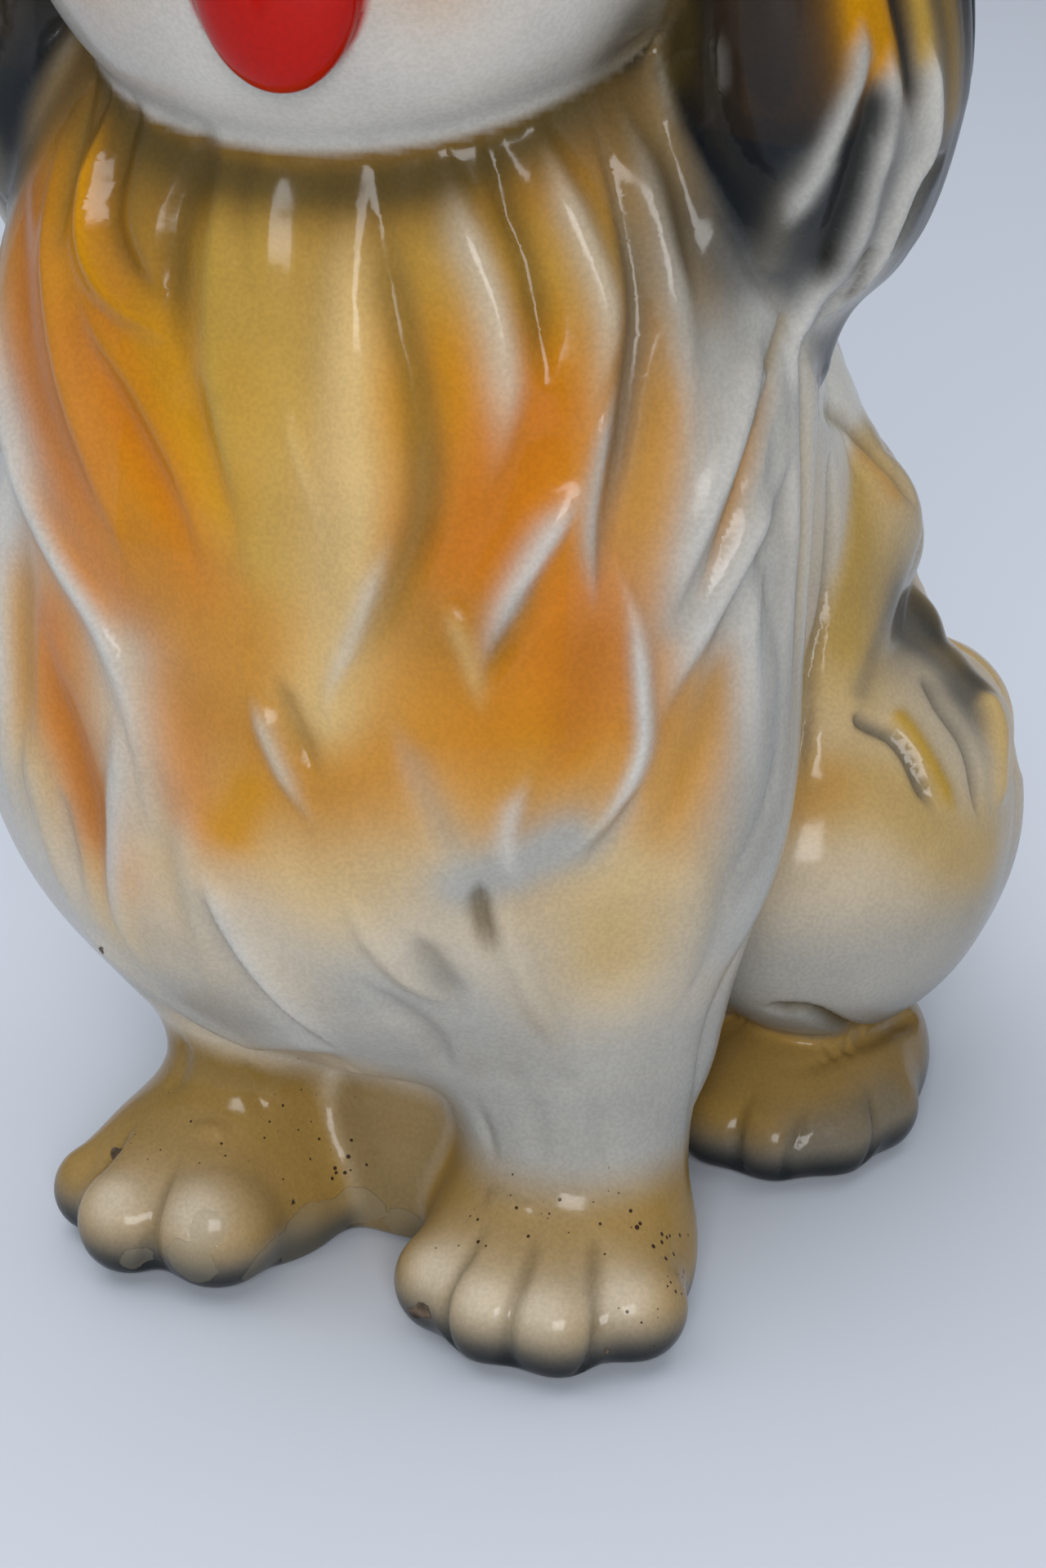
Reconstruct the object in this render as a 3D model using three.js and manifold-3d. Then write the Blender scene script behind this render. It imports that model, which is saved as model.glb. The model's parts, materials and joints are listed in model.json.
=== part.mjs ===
// Seated long-haired dog figurine, slip-cast in earthenware and glazed.
// Millimetres, +Z up, standing on z = 0. The muzzle points to -Y, the dog's own left is +X.
// Every piece is shaped from rounded masses of clay that are blended into each other,
// then trimmed so that a thin slip joint stays open between it and its neighbours.

import * as THREE from 'three';
import { mergeVertices } from 'three/addons/utils/BufferGeometryUtils.js';
import Module from 'manifold-3d';

const wasm = await Module();
wasm.setup();

const at = (x, y, z) => new THREE.Vector3(x, y, z);

// Driving dimensions
const SLIP_JOINT = 0.3;
const WALL = 4;
const FLOOR_THICKNESS = 6;
const VENT_DIAMETER = 8;
const VENT_Y = 34;
const NECK_BORE_DIAMETER = 44;
const BODY_PARTING_Y = -8;
const HEAD_PARTING_Y = -44;
const REACH = 220;
const WELD = 1e-4;

// Rows of facets from pole to pole on each kind of mass
const TORSO_ROWS = 18;
const HEAD_ROWS = 15;
const HOLLOW_ROWS = 9;
const LIMB_ROWS = 10;
const PAW_ROWS = 8;
const TRIM_ROWS = 6;

// Places that the pieces grow from
const TORSO_CENTRE = at(0, -8, 100);
const HEAD_CENTRE = at(0, -48, 238);
const EAR_CENTRE = at(59, -35, 198);
const FORELEG_CENTRE = at(31, -50, 22);
const HAUNCH_CENTRE = at(46, 30, 66);
const HIND_PAW_CENTRE = at(49, 15, 11);
const TAIL_CENTRE = at(50, 64, 67);
const EYE_CENTRE = at(25, -80, 250);
const NOSE_CENTRE = at(0, -96, 238);
const TONGUE_CENTRE = at(5, -91, 214);

// ---------------------------------------------------------------- clay fields
// A field gives the distance from a point to the surface of a mass, negative inside it.

function ellipsoid(centre, radii, tiltDegrees = 0) {
  const untilt = new THREE.Quaternion().setFromAxisAngle(
    at(0, 1, 0),
    THREE.MathUtils.degToRad(-tiltDegrees),
  );
  return (point) => {
    const local = point.clone().sub(centre).applyQuaternion(untilt).divide(radii);
    const scaled = local.length();
    const slope = local.divide(radii).length();
    return (scaled * (scaled - 1)) / Math.max(slope, 1e-6);
  };
}

function capsule(start, end, startRadius, endRadius) {
  const axis = end.clone().sub(start);
  return (point) => {
    const offset = point.clone().sub(start);
    const along = THREE.MathUtils.clamp(offset.dot(axis) / axis.lengthSq(), 0, 1);
    const radius = THREE.MathUtils.lerp(startRadius, endRadius, along);
    return offset.addScaledVector(axis, -along).length() - radius;
  };
}

function blend(first, second, softness) {
  return (point) => {
    const a = first(point);
    const b = second(point);
    const share = THREE.MathUtils.clamp(0.5 + (0.5 * (b - a)) / softness, 0, 1);
    return THREE.MathUtils.lerp(b, a, share) - softness * share * (1 - share);
  };
}

function blendAll(softness, fields) {
  return fields.reduce((whole, field) => blend(whole, field, softness));
}

// ---------------------------------------------------------------- the masses of the dog

const chest = blendAll(14, [
  ellipsoid(at(-2, -46, 132), at(65, 42, 86)),
  ellipsoid(at(-4, -47, 86), at(64, 40, 60)),
  capsule(at(30, -44, 110), at(30, -46, 45), 24, 19),
  capsule(at(-30, -44, 110), at(-27, -46, 48), 24, 15),
]);

const rump = blendAll(18, [
  ellipsoid(at(0, 24, 82), at(54, 58, 84)),
  ellipsoid(at(0, -14, 150), at(50, 44, 66)),
  ellipsoid(at(0, 50, 50), at(56, 46, 56)),
]);

const belly = capsule(at(0, -30, 14), at(0, 30, 30), 26, 30);

const torso = blend(blend(rump, belly, 10), chest, 10);

const skull = blend(
  ellipsoid(at(-2, -56, 224), at(49, 38, 44)),
  ellipsoid(at(0, -40, 250), at(64, 46, 50)),
  14,
);

const whiskerPad = (side) => ellipsoid(at(10 * side, -90, 226), at(14, 9, 10));

const head = blendAll(6, [skull, whiskerPad(1), whiskerPad(-1)]);

const ear = blend(
  ellipsoid(at(62, -35, 213), at(15, 31, 45), -6),
  capsule(at(58, -36, 192), at(54, -30, 152), 16, 6),
  18,
);

const forePaw = ellipsoid(at(31, -60, 9), at(24, 25.5, 17));
const leftForeleg = blend(capsule(at(31, -46, 60), at(31, -50, 16), 18, 18), forePaw, 6);
const rightForeleg = blend(capsule(at(29, -47, 60), at(30, -52, 16), 13, 15), forePaw, 6);

const haunch = blendAll(7, [
  ellipsoid(at(49, 26, 52), at(30, 42, 36)),
  ellipsoid(at(36, 40, 90), at(19, 28, 30)),
  capsule(at(45, 32, 104), at(50, 4, 79), 14, 8),
]);

const hindPaw = capsule(at(47, 32, 12), at(50, 2, 11), 17, 16);

const tail = blend(
  capsule(at(16, 90, 64), at(50, 68, 66), 14, 16),
  capsule(at(50, 62, 66), at(60, 40, 73), 17, 13),
  8,
);

const eye = ellipsoid(EYE_CENTRE, at(10, 8, 10));
const nose = ellipsoid(NOSE_CENTRE, at(11, 8, 8));
const tongue = ellipsoid(TONGUE_CENTRE, at(12, 6.5, 16));

// ---------------------------------------------------------------- solids

function solidFrom(geometry) {
  geometry.deleteAttribute('normal');
  geometry.deleteAttribute('uv');
  const welded = mergeVertices(geometry, WELD);
  return new wasm.Manifold(
    new wasm.Mesh({
      numProp: 3,
      vertProperties: new Float32Array(welded.attributes.position.array),
      triVerts: new Uint32Array(welded.index.array),
    }),
  );
}

function distanceToSkin(field, centre, direction, level) {
  const probe = at(0, 0, 0);
  let inside = 0;
  let outside = REACH;
  for (let step = 0; step < 36; step += 1) {
    const middle = (inside + outside) / 2;
    probe.copy(centre).addScaledVector(direction, middle);
    if (field(probe) < level) {
      inside = middle;
    } else {
      outside = middle;
    }
  }
  return inside;
}

// A globe of rows and columns round the centre, each point pushed out to the skin of the field.
// A level above zero gives a swollen copy, which trims a neighbour; one below gives a hollow.
function sculpt(field, centre, rows, level = 0) {
  const globe = new THREE.SphereGeometry(1, rows * 2, rows);
  globe.rotateX(Math.PI / 2);
  const points = globe.attributes.position;
  const direction = at(0, 0, 0);
  for (let index = 0; index < points.count; index += 1) {
    direction.fromBufferAttribute(points, index).normalize();
    const reach = distanceToSkin(field, centre, direction, level);
    const skin = centre.clone().addScaledVector(direction, reach);
    points.setXYZ(index, skin.x, skin.y, skin.z);
  }
  return solidFrom(globe);
}

function block(low, high) {
  const size = high.clone().sub(low);
  const box = new THREE.BoxGeometry(size.x, size.y, size.z);
  const middle = low.clone().add(high).multiplyScalar(0.5);
  box.translate(middle.x, middle.y, middle.z);
  return solidFrom(box);
}

function upright(diameter, x, y, bottom, top) {
  const rod = new THREE.CylinderGeometry(diameter / 2, diameter / 2, top - bottom, 24);
  rod.rotateX(Math.PI / 2);
  rod.translate(x, y, (bottom + top) / 2);
  return solidFrom(rod);
}

function largestBody(solid) {
  const bodies = solid.decompose();
  return bodies.reduce((best, body) => (body.volume() > best.volume() ? body : best));
}

const aboveTable = block(at(-REACH, -REACH, 0), at(REACH, REACH, 2 * REACH));
const inFrontOf = (y) => block(at(-REACH, -REACH, -REACH), at(REACH, y - SLIP_JOINT / 2, 2 * REACH));
const behind = (y) => block(at(-REACH, y + SLIP_JOINT / 2, -REACH), at(REACH, REACH, 2 * REACH));

// ---------------------------------------------------------------- the casting, hollow throughout

const aboveFloor = block(at(-REACH, -REACH, FLOOR_THICKNESS), at(REACH, REACH, 2 * REACH));
const neckBore = upright(NECK_BORE_DIAMETER, 0, -36, 165, 215);
const vent = upright(VENT_DIAMETER, 0, VENT_Y, -1, FLOOR_THICKNESS + 1);

const headTrim = sculpt(head, HEAD_CENTRE, HEAD_ROWS, SLIP_JOINT);
const headHollow = sculpt(skull, HEAD_CENTRE, HOLLOW_ROWS, -WALL);
const headShell = sculpt(head, HEAD_CENTRE, HEAD_ROWS).subtract(headHollow).subtract(neckBore);

const torsoTrim = sculpt(torso, TORSO_CENTRE, TORSO_ROWS, SLIP_JOINT);
const torsoHollow = sculpt(torso, TORSO_CENTRE, HOLLOW_ROWS, -WALL).intersect(aboveFloor);
const torsoShell = sculpt(torso, TORSO_CENTRE, TORSO_ROWS)
  .intersect(aboveTable)
  .subtract(torsoHollow)
  .subtract(headTrim)
  .subtract(vent);

// ---------------------------------------------------------------- pieces luted on to the casting
// A paired piece is described on the left side, +X, and turned over for the right side.

function onSide(side, centre, field) {
  const turnedCentre = at(side * centre.x, centre.y, centre.z);
  const turnedField = (point) => field(at(side * point.x, point.y, point.z));
  return (rows, level = 0) => sculpt(turnedField, turnedCentre, rows, level);
}

function earOn(side) {
  return onSide(side, EAR_CENTRE, ear)(LIMB_ROWS).subtract(headTrim).subtract(torsoTrim);
}

function eyeOn(side) {
  return onSide(side, EYE_CENTRE, eye)(TRIM_ROWS).subtract(headTrim);
}

function forelegOn(side) {
  const foreleg = side > 0 ? leftForeleg : rightForeleg;
  return onSide(side, FORELEG_CENTRE, foreleg)(LIMB_ROWS).intersect(aboveTable).subtract(torsoTrim);
}

function hindPawOn(side) {
  return onSide(side, HIND_PAW_CENTRE, hindPaw)(PAW_ROWS).intersect(aboveTable).subtract(torsoTrim);
}

function haunchOn(side) {
  const hindPawTrim = onSide(side, HIND_PAW_CENTRE, hindPaw)(PAW_ROWS, SLIP_JOINT);
  const trimmed = onSide(side, HAUNCH_CENTRE, haunch)(LIMB_ROWS).subtract(torsoTrim).subtract(hindPawTrim);
  return trimmed.intersect(aboveTable);
}

const haunchTrim = onSide(1, HAUNCH_CENTRE, haunch)(LIMB_ROWS, SLIP_JOINT);
const tailSolid = sculpt(tail, TAIL_CENTRE, PAW_ROWS).subtract(torsoTrim).subtract(haunchTrim);
const noseSolid = sculpt(nose, NOSE_CENTRE, TRIM_ROWS).subtract(headTrim);
const tongueSolid = sculpt(tongue, TONGUE_CENTRE, TRIM_ROWS).subtract(headTrim);

// ---------------------------------------------------------------- named meshes

const figurine = new THREE.Group();

function glaze(colour, roughness = 0.18) {
  return new THREE.MeshStandardMaterial({ color: colour, roughness, metalness: 0 });
}

function addPiece(name, solid, material) {
  const { vertProperties, triVerts } = largestBody(solid).getMesh();
  const geometry = new THREE.BufferGeometry();
  geometry.setAttribute('position', new THREE.BufferAttribute(vertProperties, 3));
  geometry.setIndex(new THREE.BufferAttribute(triVerts, 1));
  geometry.computeVertexNormals();
  const mesh = new THREE.Mesh(geometry, material);
  mesh.name = name;
  figurine.add(mesh);
}

function addPair(name, pieceOn, colour, roughness) {
  addPiece(`left_${name}`, pieceOn(1), glaze(colour, roughness));
  addPiece(`right_${name}`, pieceOn(-1), glaze(colour, roughness));
}

addPiece('front_shell', torsoShell.intersect(inFrontOf(BODY_PARTING_Y)), glaze(0xd9b878));
addPiece('back_shell', torsoShell.intersect(behind(BODY_PARTING_Y)), glaze(0xd8cbb0));
addPiece('face_shell', headShell.intersect(inFrontOf(HEAD_PARTING_Y)), glaze(0xdcdad0));
addPiece('crown_shell', headShell.intersect(behind(HEAD_PARTING_Y)), glaze(0x6b5a3c));
addPiece('nose', noseSolid, glaze(0x1b1a19, 0.12));
addPiece('tongue', tongueSolid, glaze(0xc8180a, 0.12));
addPiece('tail', tailSolid, glaze(0x77706a));
addPair('eye', eyeOn, 0x17181b, 0.08);
addPair('ear', earOn, 0x22282d);
addPair('foreleg', forelegOn, 0xc9a35c);
addPair('haunch', haunchOn, 0xd8bd8b);
addPair('hind_paw', hindPawOn, 0xb79a62);

export default figurine;
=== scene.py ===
import json
import math

import bpy
import numpy as np
from mathutils import Matrix, Vector


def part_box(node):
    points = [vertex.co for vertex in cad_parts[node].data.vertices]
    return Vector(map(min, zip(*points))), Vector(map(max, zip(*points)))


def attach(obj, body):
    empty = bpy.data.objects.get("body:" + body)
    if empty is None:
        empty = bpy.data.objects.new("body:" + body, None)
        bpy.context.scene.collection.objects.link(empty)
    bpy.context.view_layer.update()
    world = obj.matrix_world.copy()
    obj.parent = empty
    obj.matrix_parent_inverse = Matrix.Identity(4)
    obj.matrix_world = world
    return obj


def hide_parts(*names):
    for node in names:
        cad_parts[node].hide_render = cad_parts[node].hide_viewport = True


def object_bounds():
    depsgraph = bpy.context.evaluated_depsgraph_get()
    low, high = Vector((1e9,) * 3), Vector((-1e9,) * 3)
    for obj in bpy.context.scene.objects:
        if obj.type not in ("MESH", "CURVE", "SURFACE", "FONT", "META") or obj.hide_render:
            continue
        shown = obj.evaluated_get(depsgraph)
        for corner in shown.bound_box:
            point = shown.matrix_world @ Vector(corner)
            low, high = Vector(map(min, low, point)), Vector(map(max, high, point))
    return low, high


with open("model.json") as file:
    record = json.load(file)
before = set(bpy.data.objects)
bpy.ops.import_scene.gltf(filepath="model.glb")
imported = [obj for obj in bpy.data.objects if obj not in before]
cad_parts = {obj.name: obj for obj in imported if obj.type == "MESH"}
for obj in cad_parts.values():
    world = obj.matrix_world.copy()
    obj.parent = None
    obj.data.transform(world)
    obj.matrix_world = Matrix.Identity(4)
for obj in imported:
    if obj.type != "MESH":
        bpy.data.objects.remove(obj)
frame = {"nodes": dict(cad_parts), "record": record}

cad_low, cad_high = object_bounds()

# A seated long-haired dog in glazed earthenware. It is sculpted in millimetres in the frame of the
# CAD model (+Z up, muzzle to -Y, the dog's own left to +X), and scaled to metres at the end.
MM = 0.001
CELL = 1.8  # grid on which the clay is sampled
WALL = 3.5  # thickness of the fired casting
BODY_PARTING_Y = -8.0
HEAD_PARTING_Y = -44.0


def vec(*numbers):
    return np.array(numbers, np.float32)


def near(node, x, y, z):
    """A point measured from the middle of a CAD node's box."""
    node_low, node_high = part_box(node)
    return vec(*(node_low + node_high)) / 2 / MM + vec(x, y, z)


# ---------- clay masses
# A mass is a function from points (n, 3) to distances (n,), negative inside.

def ellipsoid(centre, radii, tilt=0.0):
    turn = np.array(Matrix.Rotation(math.radians(-tilt), 3, "Y"), np.float32)
    radii = np.asarray(radii, np.float32)

    def distance(points):
        local = (points - centre) @ turn.T / radii
        scaled = np.linalg.norm(local, axis=1)
        slope = np.linalg.norm(local / radii, axis=1)
        return scaled * (scaled - 1) / np.maximum(slope, 1e-6)

    return distance


def capsule(start, end, start_radius, end_radius):
    axis = end - start

    def distance(points):
        along = np.clip((points - start) @ axis / (axis @ axis), 0, 1)
        nearest = start + along[:, None] * axis
        radius = start_radius + (end_radius - start_radius) * along
        return np.linalg.norm(points - nearest, axis=1) - radius

    return distance


def soft_min(a, b, softness):
    share = np.clip(0.5 + 0.5 * (b - a) / softness, 0, 1)
    return b + (a - b) * share - softness * share * (1 - share)


def blend(softness, *masses):
    def distance(points):
        whole = masses[0](points)
        for mass in masses[1:]:
            whole = soft_min(whole, mass(points), softness)
        return whole

    return distance


def mirrored(mass):
    return lambda points: mass(points * vec(-1, 1, 1))


chest = blend(
    14,
    ellipsoid(near("front_shell", 0.7, 2.6, 25.1), (65, 42, 86)),
    ellipsoid(near("front_shell", -3.3, 1.6, -20.9), (66, 40, 54)),
    capsule(near("front_shell", 32.7, 4.6, 3.1), near("front_shell", 32.7, 2.6, -61.9), 24, 19),
    capsule(near("front_shell", -27.3, 4.6, 3.1), near("front_shell", -24.3, 2.6, -58.9), 24, 15),
)
rump = blend(
    18,
    ellipsoid(near("back_shell", 0, -19.7, -25.4), (54, 58, 84)),
    ellipsoid(near("back_shell", 0, -57.7, 42.6), (50, 44, 66)),
    ellipsoid(near("back_shell", 0, 6.3, -57.4), (56, 46, 56)),
)
belly = capsule(near("front_shell", 2.7, 18.6, -92.9), near("back_shell", 0, -13.7, -77.4), 26, 30)
torso = blend(10, rump, belly, chest)

skull = blend(
    14,
    ellipsoid(near("face_shell", -2, 15.1, -15.8), (49, 38, 44)),
    ellipsoid(near("crown_shell", 0, -20.9, 7.2), (64, 46, 50)),
)
whisker_pad = ellipsoid(near("face_shell", 10, -18.9, -13.8), (14, 9, 10))
head = blend(6, skull, whisker_pad, mirrored(whisker_pad))

ear = blend(
    18,
    ellipsoid(near("left_ear", 1.4, 0, 9.6), (15, 31, 45), -6),
    capsule(near("left_ear", -2.6, -1, -11.4), near("left_ear", -6.6, 5, -51.4), 16, 6),
)


def toe(heel, x, y, radius=8.6):
    """A toe with its tip (x, y) away from the heel, on the floor."""
    root = heel + vec(0.55 * x, 0.55 * y, 11)
    return capsule(root, heel + vec(x, y, radius), radius + 0.8, radius)


near_heel = near("left_foreleg", 0, 5.9, -21.6)
near_toes = [toe(near_heel, x, y) for x, y in ((-12.5, -19.5), (-2.5, -24.5), (8, -24), (17, -15.5))]
far_heel = near("right_foreleg", 0, 7.8, -19.3)
far_toes = [toe(far_heel, x, y, r) for x, y, r in ((-16, -15, 7.5), (-5, -23.5, 9), (9.5, -21.5, 10.5))]
near_pad = ellipsoid(near("left_foreleg", 0, 1.9, -13.6), (22, 21, 18))
far_pad = ellipsoid(near("right_foreleg", 2, 3.8, -11.3), (22, 21, 18))
left_leg = capsule(near("left_foreleg", 0, 11.9, 38.5), near("left_foreleg", 0, 7.9, -5.6), 18, 18)
right_leg = capsule(near("right_foreleg", 6, 12.8, 40.7), near("right_foreleg", 3, 7.8, -3.3), 11, 14)
left_foreleg = blend(6, left_leg, blend(4.5, near_pad, *near_toes))
right_foreleg = blend(6, right_leg, blend(4.0, far_pad, *far_toes))

haunch = blend(
    7,
    ellipsoid(near("left_haunch", -8.3, 0.3, -15.8), (30, 42, 36)),
    ellipsoid(near("left_haunch", -21.3, 14.3, 22.2), (19, 28, 30)),
    capsule(near("left_haunch", -12.3, 6.3, 36.2), near("left_haunch", -7.3, -21.7, 11.2), 14, 8),
)
hind_heel = near("left_hind_paw", -0.7, 4.6, -14.4)
hind_toes = [toe(hind_heel, x, y, 7.6) for x, y in ((-7, -29), (3, -30), (11.5, -24), (15, -13))]
hind_pad = ellipsoid(near("left_hind_paw", -0.7, 2.6, -7.4), (20, 30, 16))
hind_paw = blend(5, hind_pad, *hind_toes)
tail = blend(
    3.5,
    capsule(near("tail", -25.5, 21.1, -10.6), near("tail", 0.5, 7.1, -10.6), 13, 10),
    capsule(near("tail", 0.5, -10.9, 13.4), near("tail", 14.5, -28.9, 16.4), 10, 8),
    capsule(near("tail", 16.5, -12.9, -6.6), near("tail", 26.5, -32.9, 1.4), 14, 10),
)
eye = ellipsoid(near("left_eye", -2.5, 3.9, -1.3), (10, 8, 10))
nose = ellipsoid(near("nose", 0, 1.8, -0.2), (11, 8, 8))
tongue = ellipsoid(near("tongue", -0.5, 1.6, 5.1), (12, 6.5, 16))

SINGLES = {"nose": nose, "tongue": tongue, "tail": tail}
PAIRS = {
    "eye": (eye, mirrored(eye)),
    "ear": (ear, mirrored(ear)),
    "foreleg": (left_foreleg, right_foreleg),
    "haunch": (haunch, mirrored(haunch)),
    "hind_paw": (hind_paw, mirrored(hind_paw)),
}
# The masses in the order in which they are pressed on to the torso, and how softly each one runs in.
PRESSED_ON = (
    (PAIRS["foreleg"], 7),
    (PAIRS["haunch"], 4),
    (PAIRS["hind_paw"], 3),
    ((tail,), 4),
    ((head,), 4),
    (PAIRS["ear"], 9),
    ((nose, tongue), 1.5),
    (PAIRS["eye"], 1),
)
FLOOR_EDGE = 3.0


def whole_dog(points):
    skin = torso(points)
    for masses, softness in PRESSED_ON:
        for mass in masses:
            skin = soft_min(skin, mass(points), softness)
    return -soft_min(-skin, points[:, 2], FLOOR_EDGE)


# ---------- from masses to a mesh of quads

def surface_nets(mass, low, high, cell):
    counts = np.ceil((high - low) / cell).astype(int) + 1
    axes = [low[i] + cell * np.arange(counts[i], dtype=np.float32) for i in range(3)]
    values = np.empty(counts, np.float32)
    for i, x in enumerate(axes[0]):
        y, z = np.meshgrid(axes[1], axes[2], indexing="ij")
        layer = np.stack([np.full(y.size, x, np.float32), y.ravel(), z.ravel()], 1)
        values[i] = mass(layer).reshape(counts[1:])
    inside = values < 0
    total = np.zeros(tuple(counts - 1) + (3,), np.float32)
    crossings = np.zeros(counts - 1, np.int32)
    for axis in range(3):
        others = [a for a in range(3) if a != axis]
        lower, upper = [slice(None)] * 3, [slice(None)] * 3
        lower[axis], upper[axis] = slice(0, -1), slice(1, None)
        start, end = values[tuple(lower)], values[tuple(upper)]
        crossed = inside[tuple(lower)] != inside[tuple(upper)]
        steps = [np.arange(length, dtype=np.float32) for length in start.shape]
        place = np.stack(np.meshgrid(*steps, indexing="ij"), -1)
        place[..., axis] += np.where(crossed, start / (start - end + 1e-20), 0)
        for first in (0, 1):
            for second in (0, 1):
                source, target = [slice(None)] * 3, [slice(None)] * 3
                for other, shift in zip(others, (first, second)):
                    length = counts[other] - 1
                    source[other] = slice(shift, shift + length)
                    target[other] = slice(0, length)
                mask = crossed[tuple(source)]
                total[tuple(target)] += place[tuple(source)] * mask[..., None]
                crossings[tuple(target)] += mask
    used = crossings > 0
    number = np.full(counts - 1, -1)
    number[used] = np.arange(used.sum())
    points = low + cell * (total[used] / crossings[used][:, None])
    quads = []
    for axis in range(3):
        others = [a for a in range(3) if a != axis]
        lower, upper = [slice(1, -1)] * 3, [slice(1, -1)] * 3
        lower[axis], upper[axis] = slice(0, -1), slice(1, None)
        start, end = inside[tuple(lower)], inside[tuple(upper)]
        edges = np.argwhere(start != end)
        corner = edges.copy()
        corner[:, others] += 1
        ring = []
        for first, second in ((1, 1), (0, 1), (0, 0), (1, 0)):
            cell_index = corner.copy()
            cell_index[:, others[0]] -= first
            cell_index[:, others[1]] -= second
            ring.append(number[tuple(cell_index.T)])
        ring = np.stack(ring, 1)
        leaving = start[start != end]
        turn = leaving if axis != 1 else ~leaving
        ring[~turn] = ring[~turn][:, ::-1]
        quads.append(ring)
    return points, np.concatenate(quads)


def gradient(mass, points, step=0.4):
    shifts = step * np.eye(3, dtype=np.float32)
    slopes = [mass(points + shift) - mass(points - shift) for shift in shifts]
    normal = np.stack(slopes, 1)
    return normal / np.maximum(np.linalg.norm(normal, axis=1, keepdims=True), 1e-6)


def settle(mass, points, rounds):
    for _ in range(rounds):
        points = points - gradient(mass, points) * mass(points)[:, None] * 0.9
    return points


def subdivide(points, quads):
    edges = np.sort(np.stack([quads, np.roll(quads, -1, 1)], -1).reshape(-1, 2), 1)
    unique, back = np.unique(edges, axis=0, return_inverse=True)
    back = back.reshape(len(quads), 4)
    middles = points[unique].mean(1)
    centres = points[quads].mean(1)
    first_middle, first_centre = len(points), len(points) + len(middles)
    centre = first_centre + np.arange(len(quads))
    fine = [
        np.stack([quads[:, k], first_middle + back[:, k], centre, first_middle + back[:, k - 1]], 1)
        for k in range(4)
    ]
    everything = np.concatenate([points, middles, centres])
    return everything, np.stack(fine, 1).reshape(-1, 4), (unique, first_middle)


def vertex_normals(points, quads):
    corners = points[quads]
    across = np.cross(corners[:, 2] - corners[:, 0], corners[:, 3] - corners[:, 1])
    normals = np.zeros_like(points)
    for k in range(4):
        np.add.at(normals, quads[:, k], across)
    return normals / np.maximum(np.linalg.norm(normals, axis=1, keepdims=True), 1e-9)


# ---------- pieces of the skin

def piece_of(points):
    names = ["torso", "head"]
    depth = [torso(points) - 1.0, head(points) - 1.0]
    for name, mass in SINGLES.items():
        names.append(name)
        depth.append(mass(points))
    for name, (left, right) in PAIRS.items():
        names += ["left_" + name, "right_" + name]
        depth += [left(points), right(points)]
    label = np.array(names, object)[np.argmin(np.stack(depth), 0)]
    in_front = points[:, 1] < BODY_PARTING_Y
    label[(label == "torso") & in_front] = "front_shell"
    label[(label == "torso") & ~in_front] = "back_shell"
    in_front = points[:, 1] < HEAD_PARTING_Y
    label[(label == "head") & in_front] = "face_shell"
    label[(label == "head") & ~in_front] = "crown_shell"
    return label


# ---------- the bare skin

low = vec(*cad_low) / MM - 6
high = vec(*cad_high) / MM + 6
coarse_points, coarse_quads = surface_nets(whole_dog, low, high, CELL)
coarse_points = settle(whole_dog, coarse_points, 2)
labels = piece_of(coarse_points[coarse_quads].mean(1))
fine_points, fine_quads, (split_edges, first_middle) = subdivide(coarse_points, coarse_quads)
fine_points = settle(whole_dog, fine_points, 2)
base_normals = gradient(whole_dog, fine_points)
x, y, z = fine_points.T

# ---------- lines drawn on the skin

MANE_RADIUS = 62.0
MANE_AXIS_Y = -20.0


def smooth_line(points, steps=5):
    """A smooth line through given points."""
    points = np.array(points, np.float32)
    if len(points) < 2:
        return np.concatenate([points, points + 0.01])
    ends = 2 * points[[0, -1]] - points[[1, -2]]
    run = np.concatenate([ends[:1], points, ends[1:]])
    spots = []
    for before, start, end, after in zip(run, run[1:], run[2:], run[3:]):
        for t in np.arange(steps) / steps:
            pull = (end - before) * t + (2 * before - 5 * start + 4 * end - after) * t ** 2
            spots.append(start + 0.5 * (pull + (3 * start - before - 3 * end + after) * t ** 3))
    return np.array(spots + [points[-1]], np.float32)


def band(values, start, end):
    """0 at start, 1 at end, smooth between."""
    share = np.clip((values - start) / (end - start), 0, 1)
    return share * share * (3 - 2 * share)


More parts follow.
